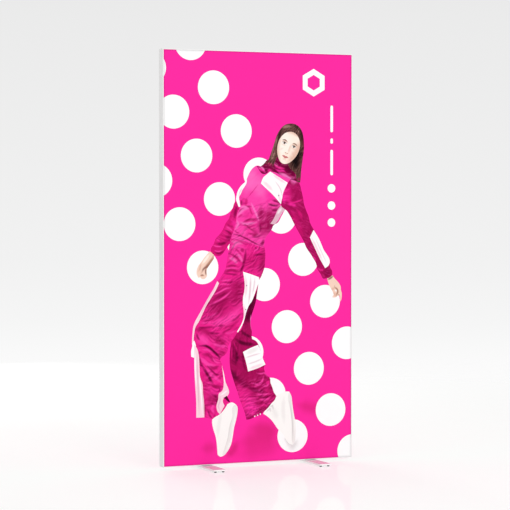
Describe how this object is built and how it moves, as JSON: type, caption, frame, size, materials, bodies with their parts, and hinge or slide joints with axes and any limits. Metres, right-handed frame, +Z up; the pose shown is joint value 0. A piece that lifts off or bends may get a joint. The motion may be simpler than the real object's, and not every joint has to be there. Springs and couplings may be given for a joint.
{
  "type": "banner stand",
  "caption": "Free-standing double-sided textile display frame: printed cloths held in the edge grooves of a white aluminium frame on flat swivel feet.",
  "frame": {"origin": "on the floor, under the middle of the frame", "axes": "+Z up, the first cloth faces -Y, +X to the right of someone who looks at it"},
  "size_m": [1, 0.39, 2.015],
  "materials": {
    "frame_rail": "extruded aluminium with a satin white powder coat",
    "foot_plate": "flat steel with a satin white powder coat",
    "foot_pad": "matt black rubber",
    "printed_textile": "knitted polyester with a dye print on pink, matt with a slight sheen",
    "silicone_strip": "milky silicone rubber, satin",
    "nylon_washer": "white nylon",
    "brace": "mill-finish aluminium",
    "steel_fixing": "bright zinc-plated steel"
  },
  "bodies": {
    "frame": {"back_bottom_silicone_strip": "silicone_strip", "back_left_silicone_strip": "silicone_strip", "back_right_silicone_strip": "silicone_strip", "back_textile": "printed_textile", "back_top_silicone_strip": "silicone_strip", "bottom_left_connector": "steel_fixing", "bottom_rail": "frame_rail", "bottom_rail_grub_screw_1": "steel_fixing", "bottom_rail_grub_screw_2": "steel_fixing", "bottom_right_connector": "steel_fixing", "front_bottom_silicone_strip": "silicone_strip", "front_left_silicone_strip": "silicone_strip", "front_right_silicone_strip": "silicone_strip", "front_textile": "printed_textile", "front_top_silicone_strip": "silicone_strip", "left_brace_bracket": "brace", "left_bracket_screw_1": "steel_fixing", "left_bracket_screw_2": "steel_fixing", "left_foot_nut": "steel_fixing", "left_foot_pivot_bolt": "steel_fixing", "left_foot_washer": "nylon_washer", "left_upright": "frame_rail", "left_upright_grub_screw_1": "steel_fixing", "left_upright_grub_screw_2": "steel_fixing", "middle_brace": "brace", "right_brace_bracket": "brace", "right_bracket_screw_1": "steel_fixing", "right_bracket_screw_2": "steel_fixing", "right_foot_nut": "steel_fixing", "right_foot_pivot_bolt": "steel_fixing", "right_foot_washer": "nylon_washer", "right_upright": "frame_rail", "right_upright_grub_screw_1": "steel_fixing", "right_upright_grub_screw_2": "steel_fixing", "top_left_connector": "steel_fixing", "top_rail": "frame_rail", "top_rail_grub_screw_1": "steel_fixing", "top_rail_grub_screw_2": "steel_fixing", "top_right_connector": "steel_fixing"},
    "left_foot": {"left_foot_pad_1": "foot_pad", "left_foot_pad_2": "foot_pad", "left_foot_pad_3": "foot_pad", "left_foot_pad_4": "foot_pad", "left_foot_plate": "foot_plate"},
    "right_foot": {"right_foot_pad_1": "foot_pad", "right_foot_pad_2": "foot_pad", "right_foot_pad_3": "foot_pad", "right_foot_pad_4": "foot_pad", "right_foot_plate": "foot_plate"}
  },
  "joints": [
    {"name": "left_foot_swivel", "type": "hinge", "parent": "frame", "child": "left_foot", "pos_m": [-0.276, 0, 0.0094], "axis": [0, 0, 1], "range_deg": [-90, 90]},
    {"name": "right_foot_swivel", "type": "hinge", "parent": "frame", "child": "right_foot", "pos_m": [0.276, 0, 0.0094], "axis": [0, 0, 1], "range_deg": [-90, 90]}
  ]
}
